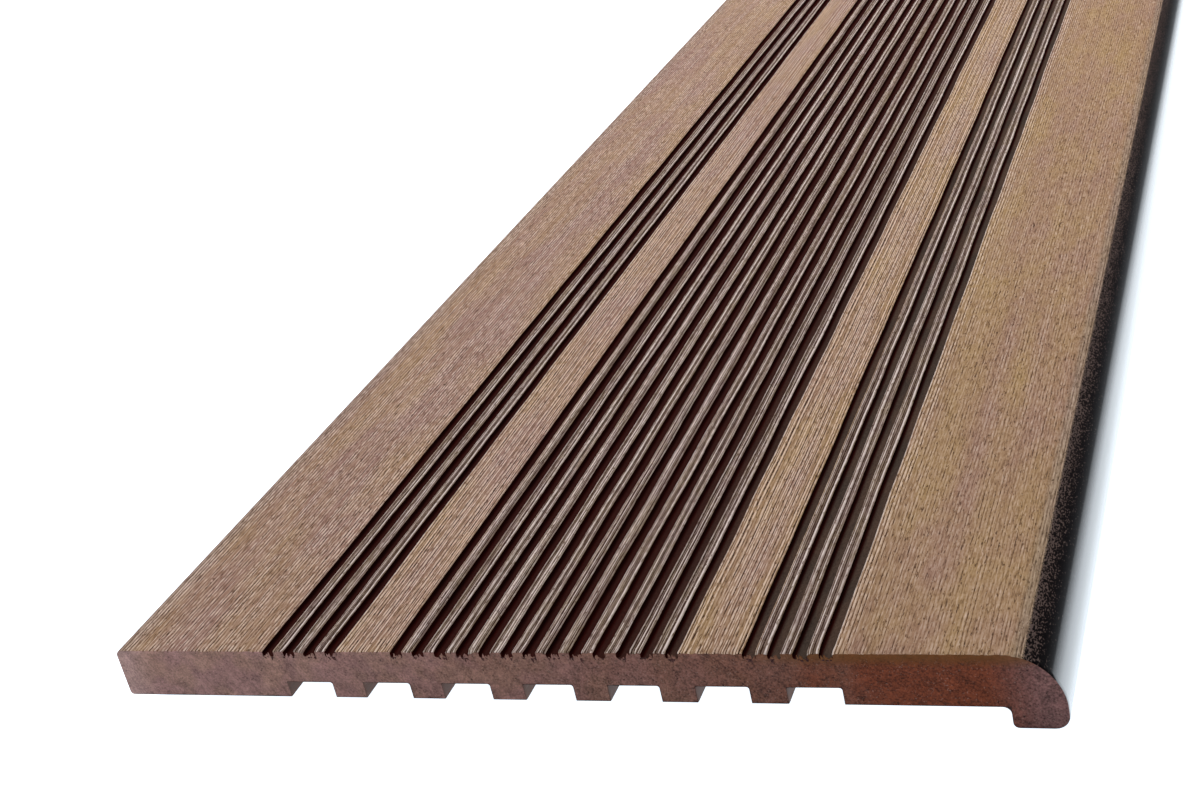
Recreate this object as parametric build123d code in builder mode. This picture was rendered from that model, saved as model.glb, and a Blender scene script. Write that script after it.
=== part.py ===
"""Solid composite stair tread: one extruded length with a grooved top and a bullnose with a lip.

X runs across the tread, from the back edge at -X to the nose at +X. Y runs along the length and
Z is up. The origin is under the middle of the tread, level with the bottom of the lip.
All sizes are in millimetres.
"""

import os

from build123d import *

# Board
tread_length = 1200
tread_depth = 350
board_thickness = 20
back_top_radius = 2.5
back_bottom_radius = 1.5

# Lip under the nose, which hooks over the front of the riser below
lip_drop = 8
lip_thickness = 18
lip_outer_radius = 5
lip_inner_radius = 2
lip_root_radius = 2.5

# Anti-slip grooves in the top: a short group at the back and the front, a long group between
groove_width = 4.4
groove_pitch = 8.6
groove_depth = 2.2
groove_floor_radius = 0.6
outer_group_grooves = 4
plain_strip = 22.4
back_margin = 64.8
least_front_margin = 70

# Channels along the underside, between two flat lands that bear on the stringers and riser
channel_width = 18.5
channel_depth = 6.5
channel_corner_radius = 0.8
rib_width = 13
least_bearing_land = 65

# Levels and faces of the section
back = -tread_depth / 2
front = tread_depth / 2
underside = lip_drop
top = underside + board_thickness
lip_face = front - lip_thickness

# The nose rounds over the whole thickness of the board. The small radii on the lip stop short
# of using up the lip's own drop.
nose_radius = board_thickness
lip_outer_round = min(lip_outer_radius, 0.7 * lip_drop)
lip_inner_round = min(lip_inner_radius, 0.4 * lip_drop)
lip_root_round = min(lip_root_radius, 0.4 * lip_drop)

# The long middle group takes as many grooves as the tread's depth leaves room for.
outer_group_width = (outer_group_grooves - 1) * groove_pitch + groove_width
middle_room = tread_depth - back_margin - least_front_margin - 2 * (outer_group_width + plain_strip)
middle_group_grooves = int((middle_room - groove_width) // groove_pitch) + 1

groove_places = []
group_start = back + back_margin
for groove_count in (outer_group_grooves, middle_group_grooves, outer_group_grooves):
    for groove_number in range(groove_count):
        groove_places.append((group_start + groove_number * groove_pitch, top))
    group_width = (groove_count - 1) * groove_pitch + groove_width
    group_start += group_width + plain_strip

# As many channels as fit between the two bearing lands, centred under the tread.
channel_pitch = channel_width + rib_width
channel_count = int((tread_depth - 2 * least_bearing_land + rib_width) // channel_pitch)

with BuildSketch() as groove:
    Rectangle(groove_width, groove_depth, align=(Align.MIN, Align.MAX))
    fillet(groove.vertices().group_by(Axis.Y)[0], groove_floor_radius)

with BuildSketch() as channel:
    Rectangle(channel_width, channel_depth, align=(Align.CENTER, Align.MIN))
    fillet(channel.vertices().group_by(Axis.Y)[-1], channel_corner_radius)

with BuildPart() as stair_tread:
    with BuildSketch(Plane.XZ):
        with BuildLine():
            FilletPolyline(
                (back, underside),
                (lip_face, underside),
                (lip_face, 0),
                (front, 0),
                (front, top),
                (back, top),
                radius=[
                    back_bottom_radius,
                    lip_root_round,
                    lip_inner_round,
                    lip_outer_round,
                    nose_radius,
                    back_top_radius,
                ],
                close=True,
            )
        make_face()
        with Locations(*groove_places):
            add(groove.sketch_local, mode=Mode.SUBTRACT)
        with Locations((0, underside)):
            with GridLocations(channel_pitch, 1, channel_count, 1):
                add(channel.sketch_local, mode=Mode.SUBTRACT)
    extrude(amount=tread_length / 2, both=True)

stair_tread.part.label = "stair_tread"

os.makedirs("parts", exist_ok=True)
export_step(stair_tread.part, "parts/stair_tread.step")
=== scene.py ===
import math

import bpy
import numpy as np
from mathutils import Matrix, Vector
from mathutils.geometry import delaunay_2d_cdt


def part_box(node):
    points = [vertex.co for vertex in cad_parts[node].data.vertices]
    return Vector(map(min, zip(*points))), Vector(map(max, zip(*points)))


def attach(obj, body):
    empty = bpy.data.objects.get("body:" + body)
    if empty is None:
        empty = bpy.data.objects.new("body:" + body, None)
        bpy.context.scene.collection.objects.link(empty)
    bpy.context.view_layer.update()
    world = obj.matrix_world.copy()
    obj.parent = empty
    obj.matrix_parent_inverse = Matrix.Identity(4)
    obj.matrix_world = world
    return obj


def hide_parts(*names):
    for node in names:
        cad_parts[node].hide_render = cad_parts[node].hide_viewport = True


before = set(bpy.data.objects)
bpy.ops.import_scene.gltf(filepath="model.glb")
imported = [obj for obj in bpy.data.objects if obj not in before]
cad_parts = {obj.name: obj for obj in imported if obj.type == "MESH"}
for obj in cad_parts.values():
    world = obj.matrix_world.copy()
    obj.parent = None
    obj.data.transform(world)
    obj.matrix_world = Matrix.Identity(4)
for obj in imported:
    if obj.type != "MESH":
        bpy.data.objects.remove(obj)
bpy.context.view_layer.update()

# The tread: one length of solid wood-plastic composite, pressed through a die and sawn off square.
# Its walking face is wire-brushed along the length afterwards. The grooves, the nose, the lip and
# the underside keep the dark smooth skin that the die leaves, and the ends show the sawn core.
MM = 0.001
tread_low, tread_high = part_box("stair_tread")
back, near_end, lip_bottom = tread_low
front, far_end, top = tread_high

board_thickness = 20 * MM
back_top_radius = 2.5 * MM
back_bottom_radius = 1.5 * MM
nose_radius = board_thickness
lip_thickness = 18 * MM
lip_outer_radius = 5 * MM
lip_inner_radius = 2 * MM
lip_root_radius = 2.5 * MM
groove_width = 4.4 * MM
groove_pitch = 8.6 * MM
groove_depth = 2.2 * MM
groove_floor_radius = 0.6 * MM
groove_edge_radius = 0.3 * MM
groove_groups = (4, 13, 4)
plain_strip = 22.4 * MM
back_margin = 64.8 * MM
channel_count = 7
channel_width = 18.5 * MM
channel_pitch = 31.5 * MM
channel_depth = 6.5 * MM
channel_corner_radius = 0.8 * MM
channel_mouth_wear = 0.25 * MM

underside = top - board_thickness
groove_floor = top - groove_depth
channel_roof = underside + channel_depth
lip_face = front - lip_thickness
nose_start = front - nose_radius

# The brush: lines along the length, as marks at a line's left side, middle and right side. A mark over
# 0 is a furrow, cut a little into the face and painted dark as shade in it, and one under 0 is a crest,
# painted pale as a highlight along with the pale fibres the brush left. The lines bite hardest beside
# the grooves, and stop part of the way round the bend of the nose.
line_depth = 0.17 * MM
brush_stops_deg = 22.5
brush_end = nose_start + nose_radius * math.radians(brush_stops_deg)
brush_fade = 2.2 * MM
brush_left_at_end = 0.55
mark_places = 0.2, 0.5, 0.8
faint_line = (-0.2, 0.2, -0.2)
plain_line = (-0.8, 0.9, -0.8)
pale_line = (0.6, -1.8, 0.6)
crisp_line = (0.3, -1.8, 0.4)
broad_line = (0.7, -2.0, -1.4)
deep_line = (-0.6, 1.6, -0.3)
flat_lines = [faint_line] + 5 * [plain_line]
strip_lines = [faint_line] + 3 * [plain_line] + 3 * [crisp_line]
combed_lines = [pale_line, pale_line, deep_line]
mixed_lines = [pale_line, broad_line, deep_line]

# How each stretch is brushed: the lines it has, their pitch, and how hard they bite.
back_flat_brush = flat_lines, 1.55 * MM, 1.5
strip_brush = strip_lines, 1.45 * MM, 2.3
combed_land_brush = combed_lines, 1.2 * MM, 1.7
mixed_land_brush = mixed_lines, 1.2 * MM, 1.5
light_land_brush = mixed_lines, 1.2 * MM, 1.2
land_brushes = [combed_land_brush, mixed_land_brush, light_land_brush]
front_flat_brush = flat_lines, 1.3 * MM, 0.9
line_spread = 0.8, 1.2
weight_spread = 0.75, 1.25

# The extra bite at a stretch's start, which dies away over a few lines, and at its end, beside a groove.
# The crest on a groove's edge, painted pale as a highlight along the rounded edge, has a weight of its
# own, less on the left edge than on the right one.
strip_start_bite = 0.2
front_start_bite = 0.8
groove_end_bite = 0.3
start_bite_reach = 5 * MM
end_bite_reach = 2 * MM
left_edge_highlight_weights = 0.2, 1.2
right_edge_highlight_weights = 0.8, 2.2

# How much of the brushing reaches the back's rounded edge, and the nose, where each step has less of it.
back_edge_brushed = 0.75
nose_step = 1.0 * MM
nose_brushed = 0.5
nose_brushed_loss = 0.17

brushed_finish, groove_finish, skin_finish, sawn_finish = range(4)
dice = np.random.default_rng(41)
section = []
line_weights = []


def lay(points, finish, brushed=0.0, land=0.0, floor=0.0, mark=0.0, line=0):
    """Adds points of the section, and what the surface is like there."""
    for x, z in points:
        section.append((x, z, finish, brushed, land, floor, mark, line))


def arc(centre_x, centre_z, radius, start_deg, end_deg, steps):
    turns = np.radians(np.linspace(start_deg, end_deg, steps))
    return [(centre_x + radius * math.cos(a), centre_z + radius * math.sin(a)) for a in turns]


def over_top(reach):
    """The point this far across the top, carried on round the bend of the nose."""
    bend = max(0.0, reach - nose_start) / nose_radius
    x = min(reach, nose_start) + nose_radius * math.sin(bend)
    return x, top - nose_radius * (1 - math.cos(bend))


def new_line(weight):
    line_weights.append(weight)
    return len(line_weights) - 1


def brushed_run(start, end, land, brush, start_bite, end_bite):
    """A brushed stretch: lines about a pitch apart, the kinds well mixed, stronger by its end bites."""
    kinds, pitch, weight = brush
    lines = round((end - start) / pitch)
    edges = np.cumsum(dice.uniform(*line_spread, lines + 1))
    edges = start + (end - start) * (edges - edges[0]) / (edges[-1] - edges[0])
    order = np.concatenate([dice.permutation(len(kinds)) for _ in range(lines // len(kinds) + 1)])
    for left, right, kind in zip(edges[:-1], edges[1:], order):
        bite = start_bite * math.exp((start - left) / start_bite_reach)
        bite += end_bite * math.exp((right - end) / end_bite_reach)
        line = new_line((weight + bite) * dice.uniform(*weight_spread))
        for share, mark in zip(mark_places, kinds[kind]):
            reach = left + share * (right - left)
            fading = (brush_end - brush_fade, brush_end)
            brushed = float(np.interp(reach, fading, (1.0, brush_left_at_end)))
            lay([over_top(reach)], brushed_finish, brushed, land, mark=mark, line=line)


back_top_round = arc(back + back_top_radius, top - back_top_radius, back_top_radius, 180, 90, 6)
lay(back_top_round[:-1], brushed_finish, back_edge_brushed)
wall_places = []
edge_height = top - groove_edge_radius
corner_height = groove_floor + groove_floor_radius
run_start, run_brush, start_bite = back + back_top_radius, back_flat_brush, 0.0
group_start = back + back_margin
for count in groove_groups:
    for number in range(count):
        left = group_start + number * groove_pitch
        right = left + groove_width
        wall_places += [left, right]
        land = float(number > 0)
        brushed_run(run_start, left - groove_edge_radius, land, run_brush, start_bite, groove_end_bite)
        run_start, run_brush = right + groove_edge_radius, land_brushes[dice.integers(len(land_brushes))]
        start_bite = 0.0
        left_edge = arc(left - groove_edge_radius, edge_height, groove_edge_radius, 90, 0, 3)
        right_edge = arc(right + groove_edge_radius, edge_height, groove_edge_radius, 180, 90, 3)
        left_corner = arc(left + groove_floor_radius, corner_height, groove_floor_radius, 180, 225, 2)
        right_corner = arc(right - groove_floor_radius, corner_height, groove_floor_radius, 315, 360, 2)
        # Each rounded edge of the groove carries a crest of its own, painted pale as a highlight, fainter
        # on the left edge than on the right.
        edge_highlight_line = new_line(dice.uniform(*left_edge_highlight_weights))
        lay(left_edge[:2], brushed_finish, 1.0, land, mark=-1, line=edge_highlight_line)
        lay(left_edge[2:], groove_finish, 1.0)
        lay([(left, (top + groove_floor) / 2)], groove_finish)
        lay(left_corner, groove_finish)
        lay([(left + groove_floor_radius, groove_floor)], groove_finish, floor=0.3)
        lay([((left + right) / 2, groove_floor)], groove_finish, floor=1.0)
        lay([(right - groove_floor_radius, groove_floor)], groove_finish, floor=0.8)
        lay(right_corner, groove_finish)
        lay([(right, (top + groove_floor) / 2)], groove_finish)
        edge_highlight_line = new_line(dice.uniform(*right_edge_highlight_weights))
        lay(right_edge[:2], brushed_finish, 1.0, land, mark=-1, line=edge_highlight_line)
    group_start = right + plain_strip
    run_brush, start_bite = strip_brush, strip_start_bite
brushed_run(run_start, brush_end, 0.0, front_flat_brush, front_start_bite, 0.0)
top_points = len(section)

bend_left_deg = 90 - brush_stops_deg
nose_steps = round(math.radians(bend_left_deg) * nose_radius / nose_step)
nose_bend = arc(nose_start, top - nose_radius, nose_radius, bend_left_deg, 0, nose_steps)
for step, point in enumerate(nose_bend):
    lay([point], brushed_finish, max(0.0, nose_brushed - nose_brushed_loss * step))
lip_outer = front - lip_outer_radius, lip_bottom + lip_outer_radius
lip_inner = lip_face + lip_inner_radius, lip_bottom + lip_inner_radius
lip_root = lip_face - lip_root_radius, underside - lip_root_radius
lay(arc(*lip_outer, lip_outer_radius, 0, -90, 8), brushed_finish)
lay(arc(*lip_inner, lip_inner_radius, -90, -180, 5), skin_finish)
lay(arc(*lip_root, lip_root_radius, 0, 90, 6), skin_finish)
roof_corner_height = channel_roof - channel_corner_radius
for number in reversed(range(channel_count)):
    middle = (back + front) / 2 + (number - (channel_count - 1) / 2) * channel_pitch
    left = middle - channel_width / 2
    right = middle + channel_width / 2
    lay([(right + channel_mouth_wear, underside), (right, underside + channel_mouth_wear)], skin_finish)
    right_corner = arc(right - channel_corner_radius, roof_corner_height, channel_corner_radius, 0, 90, 4)
    left_corner = arc(left + channel_corner_radius, roof_corner_height, channel_corner_radius, 90, 180, 4)
    lay(right_corner + left_corner, skin_finish)
    lay([(left, underside + channel_mouth_wear), (left - channel_mouth_wear, underside)], skin_finish)
back_bottom = back + back_bottom_radius, underside + back_bottom_radius
lay(arc(*back_bottom, back_bottom_radius, -90, -180, 4), skin_finish)

section_x, section_z, finish, brushed, land, floor, mark, line = np.array(section).T
line = line.astype(int)
point_count = len(section)

# Stations along the length: close together at the sawn ends, where the edges are torn, and then even.
# The ends stand a little inside the sawn length, which leaves room for the fibres that hang on them.
burr_room = 0.3 * MM
end_stations = burr_room + np.array([0.0, 0.5, 1.8, 5.0]) * MM
even_spans = 73
even_stations = np.linspace(near_end + end_stations[-1], far_end - end_stations[-1], even_spans + 1)[1:-1]
stations = np.concatenate([near_end + end_stations, even_stations, (far_end - end_stations)[::-1]])
station_count = len(stations)


def smoothed(values, passes):
    """Rounds off random values along their last axis and stretches them back over 0 to 1."""
    for _ in range(passes):
        values = (np.roll(values, 1, -1) + 2 * values + np.roll(values, -1, -1)) / 4
    return (values - values.min()) / (values.max() - values.min())


# The brush's pressure comes and goes along each line.
least_pressure = 0.35
pressure_range = 1.3
pressure = least_pressure + pressure_range * smoothed(dice.random((len(line_weights), station_count)), 1)
brush_depth_and_painted_shade = (mark * np.array(line_weights)[line])[:, None] * pressure[line]
grid_z = section_z[:, None] - line_depth * np.clip(brush_depth_and_painted_shade, 0, None)

# The groove walls wander a little, and carry the lands beside them along.
wander = 0.35 * MM
wall_shift = (smoothed(dice.random((len(wall_places), station_count)), 1) - 0.5) * 2 * wander
anchor_places = np.concatenate([[back + back_top_radius], wall_places, [nose_start]])
still = np.zeros((1, station_count))
anchor_shift = np.concatenate([still, wall_shift, still])
grid_x = np.repeat(section_x[:, None], station_count, axis=1)
for station in range(station_count):
    shift = np.interp(section_x[:top_points], anchor_places, anchor_shift[:, station])
    grid_x[:top_points, station] += shift

# The saw leaves a narrow broken arris, with chips out of the brushed edge.
arris = 0.12 * MM
chip_depth = 0.7 * MM
chip_pitch = 0.5 * MM
chip_reach = 3.5 * MM
chip_starts_at, chip_full_at = 0.52, 0.82
chips_where_brushed = 0.7
chip_away_from_grooves = 0.35
chip_run_in = 0.6
chip_places = np.arange(back, front, chip_pitch)
wall_distance = np.abs(section_x[:, None] - np.array(wall_places)).min(axis=1)
beside_groove = np.exp(-wall_distance / chip_reach)
chip_share = chip_away_from_grooves + (1 - chip_away_from_grooves) * beside_groove
chip_share = chip_share * (brushed > chips_where_brushed)
along_x = np.roll(section_x, -1) - np.roll(section_x, 1)
along_z = np.roll(section_z, -1) - np.roll(section_z, 1)
outward_x, outward_z = np.stack([-along_z, along_x]) / np.hypot(along_x, along_z)
for end, second in ((0, 1), (-1, -2)):
    ragged = smoothed(dice.random(len(chip_places)), 2)
    chips = np.interp(ragged, (chip_starts_at, chip_full_at), (0, chip_depth))
    chip = np.interp(section_x, chip_places, chips) * chip_share
    grid_x[:, end] -= arris * outward_x
    grid_z[:, end] -= arris * outward_z + chip
    grid_z[:, second] -= chip_run_in * chip

corners = np.stack([grid_x, np.broadcast_to(stations, grid_x.shape), grid_z], axis=-1).transpose(1, 0, 2)
vertices = corners.reshape(-1, 3).tolist()
first = np.arange(point_count)
after = np.roll(first, -1)
ring = np.arange(station_count - 1)[:, None] * point_count
quads = [ring + first, ring + after, ring + point_count + after, ring + point_count + first]
faces = np.stack(quads, axis=-1).reshape(-1, 4).tolist()
face_finishes = np.tile(finish, station_count - 1).tolist()

# Each sawn end is rough: a loose grid of points inside the outline, set back by the saw's waves and
# by the flakes that it pulled out.
tooth_pitch = 1.6 * MM
saw_wave = 7 * MM
saw_wave_depth = 0.05 * MM
pull_out = 0.3 * MM
saw_centre = 260 * MM, 210 * MM
tooth_scatter = 0.35
loose_across = np.arange(back, front, tooth_pitch)
loose_up = np.arange(lip_bottom, top, tooth_pitch)
loose = np.stack(np.meshgrid(loose_across, loose_up), -1).reshape(-1, 2)
rim = [(point, (point + 1) % point_count) for point in range(point_count)]
for end, inward in ((0, 1), (station_count - 1, -1)):
    outline = corners[end][:, ::2]
    scattered = loose + dice.uniform(-tooth_scatter, tooth_scatter, loose.shape) * tooth_pitch
    spots = [Vector(spot) for spot in np.concatenate([outline, scattered])]
    spots, _, triangles, sources, _, _ = delaunay_2d_cdt(spots, rim, [], 1, 1e-7)
    index = {}
    for spot in sorted({corner for triangle in triangles for corner in triangle}):
        if sources[spot][0] < point_count:
            index[spot] = end * point_count + sources[spot][0]
        else:
            x, z = spots[spot]
            wave = math.sin(math.hypot(x - saw_centre[0], z - saw_centre[1]) / saw_wave * math.tau)
            depth = saw_wave_depth * (1 + wave) + pull_out * dice.random() ** 4
            index[spot] = len(vertices)
            vertices.append((x, stations[end] + inward * depth, z))
    faces += [[index[corner] for corner in triangle[::inward]] for triangle in triangles]
    face_finishes += [sawn_finish] * len(triangles)

sharp_edge_deg = 60
tread_mesh = bpy.data.meshes.new("brushed_tread")
tread_mesh.from_pydata(vertices, [], faces)
tread_mesh.polygons.foreach_set("material_index", np.array(face_finishes, dtype=np.int32))
tread_mesh.polygons.foreach_set("use_smooth", np.ones(len(faces), dtype=bool))
tread_mesh.set_sharp_from_angle(angle=math.radians(sharp_edge_deg))
inside_ends = len(vertices) - point_count * station_count
for name, values in (("brushed", brushed), ("land", land), ("groove_floor", floor)):
    spread = np.concatenate([np.tile(values, station_count), np.zeros(inside_ends)]).astype(np.float32)
    tread_mesh.attributes.new(name, "FLOAT", "POINT").data.foreach_set("value", spread)
marks = np.concatenate([brush_depth_and_painted_shade.T.reshape(-1), np.zeros(inside_ends)]).astype(np.float32)
tread_mesh.attributes.new("brush_depth_and_painted_shade", "FLOAT", "POINT").data.foreach_set("value", marks)


class Signal:
    """A socket of a material. Arithmetic on it adds Math nodes, and node adds any other kind."""

    def __init__(self, socket):
        self.socket = socket

    def node(self, kind, settings, sockets, output=0):
        tree = self.socket.id_data
        made = tree.nodes.new(kind)
        for name, value in settings.items():
            setattr(made, name, value)
        for name, value in sockets.items():
            if isinstance(value, Signal):
                tree.links.new(value.socket, made.inputs[name])
            else:
                made.inputs[name].default_value = value
        return Signal(made.outputs[output])

    def math(self, operation, first, second):
        return self.node("ShaderNodeMath", {"operation": operation}, {0: first, 1: second})

    def __add__(self, other):
        return self.math("ADD", self, other)

    __radd__ = __add__

    def __sub__(self, other):
        return self.math("SUBTRACT", self, other)

    def __rsub__(self, other):
        return self.math("SUBTRACT", other, self)

    def __mul__(self, other):
        return self.math("MULTIPLY", self, other)

    __rmul__ = __mul__

    def feeds(self, shader, name):
        self.socket.id_data.links.new(self.socket, shader.inputs[name])


def new_finish(name):
    """A material with its shader and the place on the tread, in metres, as a signal."""
    finish = bpy.data.materials.new(name)
    finish.use_nodes = True
    nodes = finish.node_tree.nodes
    return finish, nodes["Principled BSDF"], Signal(nodes.new("ShaderNodeTexCoord").outputs["Object"])


def coordinate(place, axis):
    """One coordinate of the place: 0 is across the tread, and 2 is up."""
    return place.node("ShaderNodeSeparateXYZ", {}, {0: place}, output=axis)


def blotches(place, across, along, detail, seed):
    """Noise whose blotches are this wide across the tread and this long along it, in metres."""
    scaled = {0: place, 1: (1 / across, 1 / along, 1 / across), 2: (seed, seed, seed)}
    stretched = place.node("ShaderNodeVectorMath", {"operation": "MULTIPLY_ADD"}, scaled)
    return place.node("ShaderNodeTexNoise", {}, {"Vector": stretched, "Scale": 1.0, "Detail": detail})


def rising(signal, low, high):
    """0 below low, 1 above high, with a soft step between. With low over high it falls instead."""
    ends = {"Value": signal, "From Min": low, "From Max": high}
    return signal.node("ShaderNodeMapRange", {"interpolation_type": "SMOOTHSTEP"}, ends)


def at_least(signal, least):
    return signal.math("MAXIMUM", signal, least)


def blend(share, first, second):
    """One colour turning into another."""
    return share.node("ShaderNodeMix", {"data_type": "RGBA"}, {0: share, 6: first, 7: second}, output=2)


def shaded(colour, tone):
    """A colour made lighter or darker by a number."""
    return colour.node("ShaderNodeVectorMath", {"operation": "SCALE"}, {0: colour, "Scale": tone})


def painted(place, name):
    """A value kept with the mesh's points."""
    return place.node("ShaderNodeAttribute", {"attribute_name": name}, {}, output=2)


def bumped(shader, height, strength, distance):
    sockets = {"Strength": strength, "Distance": distance, "Height": height}
    height.node("ShaderNodeBump", {}, sockets).feeds(shader, "Normal")


# Brushed composite, which turns into the die's glossy skin round the nose.
face, face_shader, place = new_finish("brushed composite and nose skin")
across_tread = coordinate(place, 0)
height = coordinate(place, 2)
breaks = rising(blotches(place, 0.9 * MM, 4 * MM, 1.0, 53.0), 0.36, 0.64)
on_land = painted(place, "land")
# Painted light and shade of the brush lines: the furrows darkened as shade, the crests lightened as a
# highlight.
painted_line_shade = painted(place, "brush_depth_and_painted_shade") * (0.3 + on_land * 0.35 + breaks * (1.2 - on_land * 0.7))
front_flat = rising(across_tread, front - 72 * MM, front - 52 * MM)
painted_line_shade = painted_line_shade * (1 - front_flat * 0.35)
grit = blotches(place, 0.4 * MM, 0.45 * MM, 1.0, 3.0)
grains = blotches(place, 0.7 * MM, 1.6 * MM, 1.0, 79.0)
is_brushed = rising(painted(place, "brushed") + (grit - 0.5) * 0.5, 0.42, 0.56)

patches = rising(blotches(place, 24 * MM, 70 * MM, 3.0, 11.0), 0.36, 0.64)
small_patches = rising(blotches(place, 7 * MM, 16 * MM, 2.0, 13.0), 0.34, 0.66)
bands = rising(blotches(place, 15 * MM, 500 * MM, 2.0, 61.0), 0.36, 0.64)
towards_nose = (across_tread - back) * (1 / (front - back))
warmth = patches * 0.34 + small_patches * 0.17 + bands * 0.29 + towards_nose * 0.42 - 0.13
brown = blend(warmth, (0.342, 0.188, 0.150, 1), (0.404, 0.251, 0.113, 1))
brown = shaded(brown, 1 + front_flat * 0.07)
land_grey = blend(small_patches, (0.268, 0.192, 0.178, 1), (0.286, 0.216, 0.160, 1))
brown = blend(on_land * 0.8, brown, land_grey)
greyed_back = rising(across_tread, back + 11 * MM, back + 2 * MM)
greyed = greyed_back + rising(across_tread, front - 17 * MM, front - 14 * MM)
brown = blend(greyed * 0.55, brown, (0.270, 0.208, 0.160, 1))
streaks = blotches(place, 0.5 * MM, 10 * MM, 2.0, 5.0)
dashes = blotches(place, 0.55 * MM, 6 * MM, 1.0, 7.0)
wide_lines = blotches(place, 3.2 * MM, 160 * MM, 2.0, 23.0)
nicks = rising(blotches(place, 0.75 * MM, 8 * MM, 1.0, 41.0), 0.57, 0.66)
glints = rising(blotches(place, 0.65 * MM, 6 * MM, 1.0, 43.0), 0.60, 0.69)
pits = rising(blotches(place, 0.6 * MM, 3 * MM, 1.0, 31.0), 0.64, 0.72)
specks = rising(blotches(place, 0.5 * MM, 0.8 * MM, 1.0, 47.0), 0.67, 0.75)
fibres = (dashes - 0.5) * 1.5 + (streaks - 0.5) * 1.0 + (wide_lines - 0.5) * 0.4
fibres = fibres + (grains - 0.5) * (front_flat * 0.9)
tone = 1.03 + fibres - nicks * 0.35 + glints * 0.4 - painted_line_shade * 0.8 - on_land * 0.3
tone = tone * (1 - pits * 0.75)
brushed_colour = blend(tone, (0.060, 0.026, 0.016, 1), brown)
# The pale colour for a tone over 1: the pale fibres, and the painted highlight on the brush's crests and
# on the groove edges.
crest = blend(warmth, (0.74, 0.56, 0.48, 1), (0.78, 0.57, 0.41, 1))
crest = blend(on_land, crest, (0.80, 0.68, 0.63, 1))
brushed_colour = blend((tone - 1.0) * 0.62, brushed_colour, crest)
brushed_colour = blend(specks * 0.7, brushed_colour, (0.66, 0.53, 0.42, 1))

die_lines = blotches(place, 1.2 * MM, 300 * MM, 2.0, 59.0)
skin_colour = blend(grit, (0.0012, 0.0006, 0.0010, 1), (0.0040, 0.0020, 0.0030, 1))
skin_colour = shaded(skin_colour, 0.7 + die_lines * 0.6)
near_brush = rising(height, top - 7 * MM, top - 1.5 * MM)
dust = rising(near_brush * 0.22 + blotches(place, 0.55 * MM, 1.2 * MM, 1.0, 71.0), 0.66, 0.79)
polish = rising(height + (grit - 0.5) * (1.0 * MM), top - 6.0 * MM, top - 12.5 * MM)
skin_colour = blend(dust * (0.75 - polish * 0.75), skin_colour, (0.166, 0.116, 0.102, 1))

blend(is_brushed, skin_colour, brushed_colour).feeds(face_shader, "Base Color")
skin_roughness = 0.3 + (die_lines - 0.5) * 0.1
brushed_roughness = 0.72 + (streaks - 0.5) * 0.3
(skin_roughness + is_brushed * (brushed_roughness - skin_roughness)).feeds(face_shader, "Roughness")
((1 - is_brushed) * polish).feeds(face_shader, "Coat Weight")
brushed_relief = dashes * 0.8 + streaks * 0.5 - nicks * 0.4 - pits * 0.9 + specks * 0.4
relief = is_brushed * brushed_relief + (1 - is_brushed) * grit * 0.06
bumped(face_shader, relief, 0.5, 0.15 * MM)
face_shader.inputs["Specular IOR Level"].default_value = 0.06
face_shader.inputs["Coat Roughness"].default_value = 0.10
face_shader.inputs["Coat IOR"].default_value = 2.0

# The grooves, which the brush doesn't reach: dark red-brown, with floors that hold more dust at the front.
hollow, hollow_shader, place = new_finish("groove skin")
grit = blotches(place, 0.5 * MM, 1.2 * MM, 2.0, 3.0)
damp = rising(blotches(place, 9 * MM, 30 * MM, 2.0, 37.0), 0.35, 0.65)
dusty = rising(coordinate(place, 0), 10 * MM, 90 * MM)
dust_brown = blend(damp, (0.078, 0.047, 0.034, 1), (0.058, 0.040, 0.031, 1))
floor_brown = shaded(blend(dusty, (0.034, 0.007, 0.005, 1), dust_brown), 0.4 + grit * 1.2)
wall_brown = shaded(blend(damp, (0.034, 0.0024, 0.0014, 1), (0.024, 0.0030, 0.0020, 1)), 0.5 + grit)
on_floor = rising(painted(place, "groove_floor"), 0.1, 0.7)
blend(on_floor, wall_brown, floor_brown).feeds(hollow_shader, "Base Color")
(0.8 + (grit - 0.5) * 0.2).feeds(hollow_shader, "Roughness")
bumped(hollow_shader, grit, 0.4, 0.15 * MM)
hollow_shader.inputs["Specular IOR Level"].default_value = 0.03

# The underside, the channels and the back edge: the die's skin, dulled by handling.
skin, skin_shader, place = new_finish("dulled die skin")
die_lines = blotches(place, 0.9 * MM, 400 * MM, 3.0, 59.0)
handled = rising(blotches(place, 30 * MM, 60 * MM, 4.0, 67.0), 0.42, 0.7)
scuffs = rising(blotches(place, 1.6 * MM, 14 * MM, 2.0, 73.0), 0.62, 0.72)
skin_brown = blend(handled, (0.100, 0.050, 0.036, 1), (0.150, 0.086, 0.064, 1))
skin_brown = shaded(skin_brown, 0.55 + die_lines * 0.9)
blend(scuffs * 0.35, skin_brown, (0.240, 0.160, 0.125, 1)).feeds(skin_shader, "Base Color")
(0.55 + handled * 0.2 + (die_lines - 0.5) * 0.2).feeds(skin_shader, "Roughness")
bumped(skin_shader, die_lines + scuffs * 0.2, 0.35, 0.2 * MM)
skin_shader.inputs["Specular IOR Level"].default_value = 0.12

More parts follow.
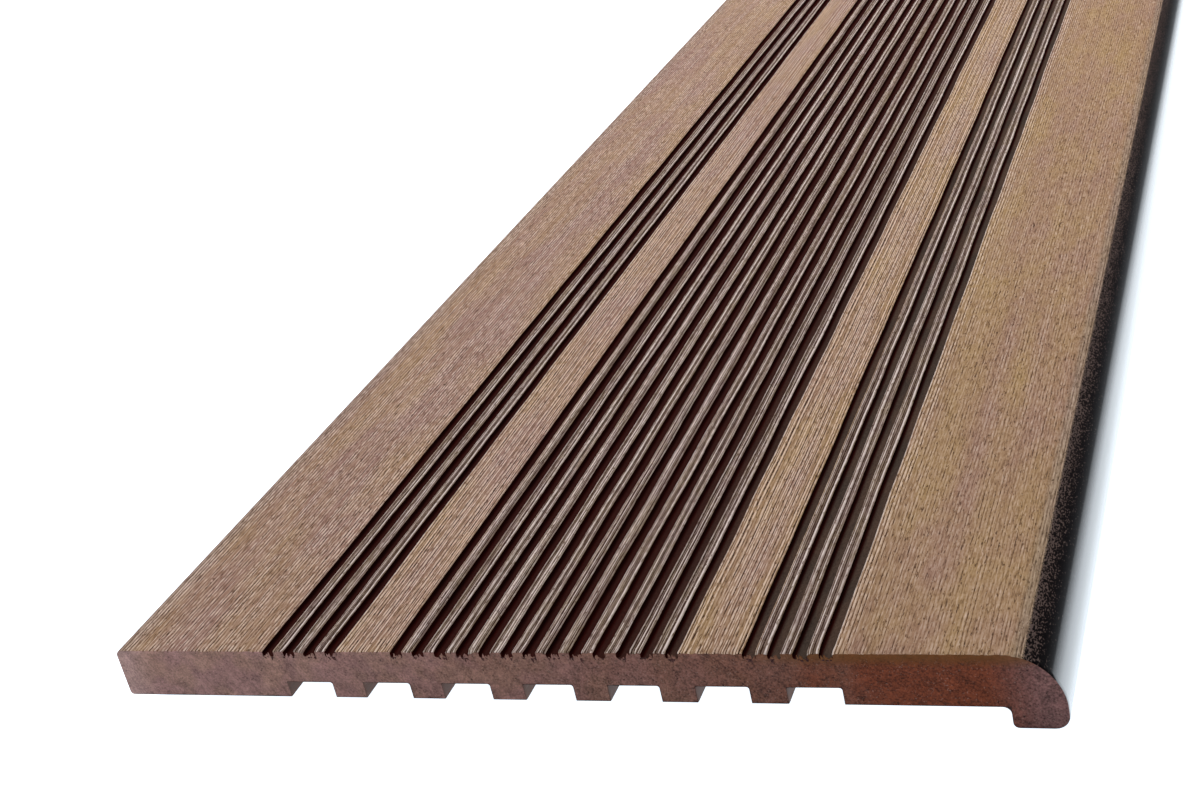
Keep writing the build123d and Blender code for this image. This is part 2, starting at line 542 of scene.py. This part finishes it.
# The sawn core: pinkish at the back, redder and darker towards the nose, and grey again in the lip.
sawn, sawn_shader, place = new_finish("sawn composite")
across_tread = coordinate(place, 0)
height = coordinate(place, 2)
clouds = blotches(place, 22 * MM, 22 * MM, 3.0, 2.0)
mottle = blotches(place, 5 * MM, 5 * MM, 3.0, 19.0)
flakes = blotches(place, 0.7 * MM, 0.7 * MM, 2.0, 9.0)
flour = rising(blotches(place, 0.6 * MM, 0.6 * MM, 1.0, 17.0), 0.63, 0.73)
voids = rising(blotches(place, 0.6 * MM, 0.6 * MM, 1.0, 29.0), 0.66, 0.74)
from_centre = {0: place, 1: (saw_centre[0], 0, saw_centre[1])}
saw_reach = place.node("ShaderNodeVectorMath", {"operation": "DISTANCE"}, from_centre, output=1)
kerf = rising(blotches(saw_reach + (mottle - 0.5) * (0.6 * MM), 0.7 * MM, 1.0, 2.0, 83.0), 0.4, 0.7)
redness = rising(across_tread + (clouds - 0.5) * (120 * MM), -210 * MM, 180 * MM)
tan_patches = rising(blotches(place, 13 * MM, 13 * MM, 3.0, 97.0), 0.42, 0.62)
pale_core = blend(tan_patches, (0.302, 0.164, 0.147, 1), (0.312, 0.176, 0.138, 1))
core = blend(redness, pale_core, (0.124, 0.043, 0.024, 1))
reddest = rising(across_tread + (clouds - 0.5) * (60 * MM), 90 * MM, 115 * MM)
core = blend(reddest * 0.8, core, (0.150, 0.032, 0.012, 1))
at_back = rising(across_tread, back + 17 * MM, back)
core = blend(at_back * 0.7, core, (0.44, 0.28, 0.25, 1))
in_lip = rising(across_tread, front - 26 * MM, front - 5 * MM)
core = blend(in_lip * 0.7, core, (0.168, 0.094, 0.092, 1))
core_tone = (flakes - 0.5) * (1.1 + redness * 1.2) + (mottle - 0.5) * 1.1 - kerf * 0.15 - voids * 0.5
core = shaded(core, 0.99 + core_tone)
core = blend(flour * 0.3, core, (0.34, 0.22, 0.18, 1))
below_top = height + (flakes - 0.5) * (2.0 * MM) + (mottle - 0.5) * (3.0 * MM)
scorched = rising(below_top, top - 6.0 * MM, top - 1.0 * MM) * rising(across_tread, 60 * MM, 100 * MM)
core = blend(scorched * 0.75, core, (0.118, 0.044, 0.009, 1))

# A thin dark line along the sawn end's lower edges, at the underside, the channel roofs and the lip:
# partly the die's dark skin seen edge on, partly painted shade under these edges.
shade_line_width = 0.45 * MM
channels_reach = (channel_count - 1) / 2 * channel_pitch + channel_width / 2
off_channel = across_tread.math("PINGPONG", across_tread, channel_pitch / 2)
off_middle = across_tread.math("ABSOLUTE", across_tread, 0.0)
in_channel = rising(off_channel, channel_width / 2 + shade_line_width, channel_width / 2 + 0.3 * shade_line_width)
in_channel = in_channel * rising(off_middle, channels_reach + 1.6 * shade_line_width, channels_reach + shade_line_width)
roof_shade_line = in_channel * rising(height, channel_roof + shade_line_width, channel_roof + 0.3 * shade_line_width)
under_shade_line = rising(height, underside + shade_line_width, underside + 0.3 * shade_line_width)
under_shade_line = under_shade_line * rising(across_tread, lip_face + shade_line_width, lip_face + 0.3 * shade_line_width)
lip_shade_line = rising(height, lip_bottom + shade_line_width, lip_bottom + 0.3 * shade_line_width)
skin_and_shade_line = at_least(at_least(roof_shade_line, under_shade_line), lip_shade_line)
blend(skin_and_shade_line * 0.8, core, (0.020, 0.010, 0.009, 1)).feeds(sawn_shader, "Base Color")
(0.75 + (flakes - 0.5) * 0.2).feeds(sawn_shader, "Roughness")
bumped(sawn_shader, flakes * 0.8 + flour * 0.4 - voids * 0.6 - kerf * 0.3, 0.5, 0.2 * MM)
sawn_shader.inputs["Specular IOR Level"].default_value = 0.1

for finish_slot in (face, hollow, skin, sawn):
    tread_mesh.materials.append(finish_slot)
tread = bpy.data.objects.new("brushed_tread", tread_mesh)
bpy.context.scene.collection.objects.link(tread)
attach(tread, "root")
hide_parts("stair_tread")

# The saw's burr: shreds of the same composite that the blade tore loose where it ran out through the
# grooves. Some stand up in each groove's mouth on both sawn ends, and darker ones hang below it.
standing_shreds, hanging_shreds = 5, 4
shred_thickness = 0.07 * MM
shred_curl = 0.3, 0.95
standing_root = groove_floor - 0.2 * MM
standing_reach = 0.8
standing_rise_mm = 0.5, 2.1
standing_drift_mm = -0.5, 0.5
standing_width_mm = 0.6, 1.3
standing_tip = 0.35
hanging_root_mm = -0.2, 0.3
hanging_left = 0.2 * MM
hanging_least_mm, hanging_more_mm = 0.5, 1.4
hanging_drift_mm = -0.3, 0.7
hanging_width_mm = 0.5, 1.1
hanging_tip = 0.25
shred_vertices, shred_faces, shred_finishes = [], [], []


def tear_shred(root_x, root_z, face_y, outward, rise, drift, width, tip, finish):
    """A thin tongue against the sawn end: four loops of four corners from its root to its tip."""
    start = len(shred_vertices)
    curl = dice.uniform(*shred_curl) * (burr_room - shred_thickness)
    for share in (0.0, 0.4, 0.75, 1.0):
        middle_x = root_x + drift * share ** 1.5
        lifted = face_y + outward * curl * math.sin(2.2 * share)
        half_width = width / 2 * (1 - (1 - tip) * share ** 2)
        for side, depth in ((-1, -1), (1, -1), (1, 1), (-1, 1)):
            corner_y = lifted + outward * depth * shred_thickness
            shred_vertices.append((middle_x + side * half_width, corner_y, root_z + rise * share))
    turn = int(math.copysign(1, -outward * rise))
    for loop in range(3):
        for corner in range(4):
            near = start + 4 * loop + corner
            beside = start + 4 * loop + (corner + 1) % 4
            shred_faces.append((near, beside, beside + 4, near + 4)[::turn])
    shred_faces.append((start + 3, start + 2, start + 1, start)[::turn])
    shred_faces.append((start + 12, start + 13, start + 14, start + 15)[::turn])
    shred_finishes.extend([finish] * 14)


core_shred, dark_shred = range(2)
for face_y, outward, station in ((stations[0], -1, 0), (stations[-1], 1, -1)):
    for wall in range(0, len(wall_places), 2):
        left = wall_places[wall] + wall_shift[wall, station]
        right = wall_places[wall + 1] + wall_shift[wall + 1, station]
        for _ in range(standing_shreds):
            root_x = right - (right - left) * standing_reach * dice.random()
            rise = dice.uniform(*standing_rise_mm) * MM
            drift = dice.uniform(*standing_drift_mm) * MM
            width = dice.uniform(*standing_width_mm) * MM
            shape = rise, drift, width, standing_tip
            tear_shred(root_x, standing_root, face_y, outward, *shape, core_shred)
        for _ in range(hanging_shreds):
            root_x = dice.uniform(left - hanging_left, right)
            root_z = groove_floor + dice.uniform(*hanging_root_mm) * MM
            rise = -(hanging_least_mm + hanging_more_mm * dice.random() ** 2) * MM
            drift = dice.uniform(*hanging_drift_mm) * MM
            width = dice.uniform(*hanging_width_mm) * MM
            shape = rise, drift, width, hanging_tip
            tear_shred(root_x, root_z, face_y, outward, *shape, dark_shred)

burr_mesh = bpy.data.meshes.new("saw_burr")
burr_mesh.from_pydata(shred_vertices, [], shred_faces)
burr_mesh.polygons.foreach_set("material_index", np.array(shred_finishes, dtype=np.int32))
torn, torn_shader, place = new_finish("torn composite")
fray = blotches(place, 0.8 * MM, 0.8 * MM, 2.0, 21.0)
torn_brown = blend(rising(fray, 0.35, 0.65), (0.026, 0.007, 0.006, 1), (0.095, 0.036, 0.030, 1))
torn_brown.feeds(torn_shader, "Base Color")
(0.75 + (fray - 0.5) * 0.3).feeds(torn_shader, "Roughness")
torn_shader.inputs["Specular IOR Level"].default_value = 0.15
burr_mesh.materials.append(sawn)
burr_mesh.materials.append(torn)
burr = bpy.data.objects.new("saw_burr", burr_mesh)
bpy.context.scene.collection.objects.link(burr)
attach(burr, "root")

# The floor: a plain white table, lit through from below like a product photographer's table, so
# that the underside's channels stand out against it and the glossy nose mirrors it.
floor_half = 60.0
table_white = (0.86, 0.86, 0.86, 1)
table_glow = (0.80, 0.905, 1.0, 1)
table_glow_strength = 1.26
floor_mesh = bpy.data.meshes.new("floor")
square = ((-1, -1), (1, -1), (1, 1), (-1, 1))
floor_corners = [(x * floor_half, y * floor_half, lip_bottom) for x, y in square]
floor_mesh.from_pydata(floor_corners, [], [(0, 1, 2, 3)])
floor_finish, floor_shader, _ = new_finish("white table")
floor_shader.inputs["Base Color"].default_value = table_white
floor_shader.inputs["Roughness"].default_value = 0.9
floor_shader.inputs["Emission Color"].default_value = table_glow
floor_shader.inputs["Emission Strength"].default_value = table_glow_strength
floor_mesh.materials.append(floor_finish)
floor_piece = bpy.data.objects.new("floor", floor_mesh)
bpy.context.scene.collection.objects.link(floor_piece)

# The light: one broad soft box overhead and a dim even room, which leaves the bend of the nose dark
# down to where it mirrors the table.
soft_box_size = 2.4
soft_box_place = Vector((-0.25, 0.65, 2.0))
soft_box_watts = 62
room_light = (0.94, 0.96, 1.0, 1)
room_strength = 0.03
soft_box_light = bpy.data.lights.new("soft_box", "AREA")
soft_box_light.size = soft_box_size
soft_box_light.energy = soft_box_watts
soft_box = bpy.data.objects.new("soft_box", soft_box_light)
soft_box.location = soft_box_place
soft_box.rotation_euler = (-soft_box_place).to_track_quat("-Z", "Y").to_euler()
bpy.context.scene.collection.objects.link(soft_box)
room = bpy.data.worlds.new("room")
room.use_nodes = True
room.node_tree.nodes["Background"].inputs["Color"].default_value = room_light
room.node_tree.nodes["Background"].inputs["Strength"].default_value = room_strength
bpy.context.scene.world = room
bpy.context.scene.view_settings.view_transform = "Standard"

# The camera stands in front of the sawn end, on the nose's side, and looks down along the grooves.
# It is tipped a little about its own line of sight, so that the sawn end lies nearly level in the picture.
camera_place = Vector((0.2583, -1.0737, 0.3548))
camera_aim = Vector((-0.0429, -0.4069, 0.0280))
camera_roll_deg = 13.4
camera_lens_mm = 54.98
camera_sensor_mm = 36
camera_lens = bpy.data.cameras.new("camera")
camera_lens.sensor_width = camera_sensor_mm
camera_lens.lens = camera_lens_mm
camera = bpy.data.objects.new("camera", camera_lens)
turn = (camera_aim - camera_place).to_track_quat("-Z", "Y").to_matrix()
turn = turn @ Matrix.Rotation(math.radians(-camera_roll_deg), 3, "Z")
camera.matrix_world = Matrix.Translation(camera_place) @ turn.to_4x4()
bpy.context.scene.collection.objects.link(camera)
bpy.context.scene.camera = camera
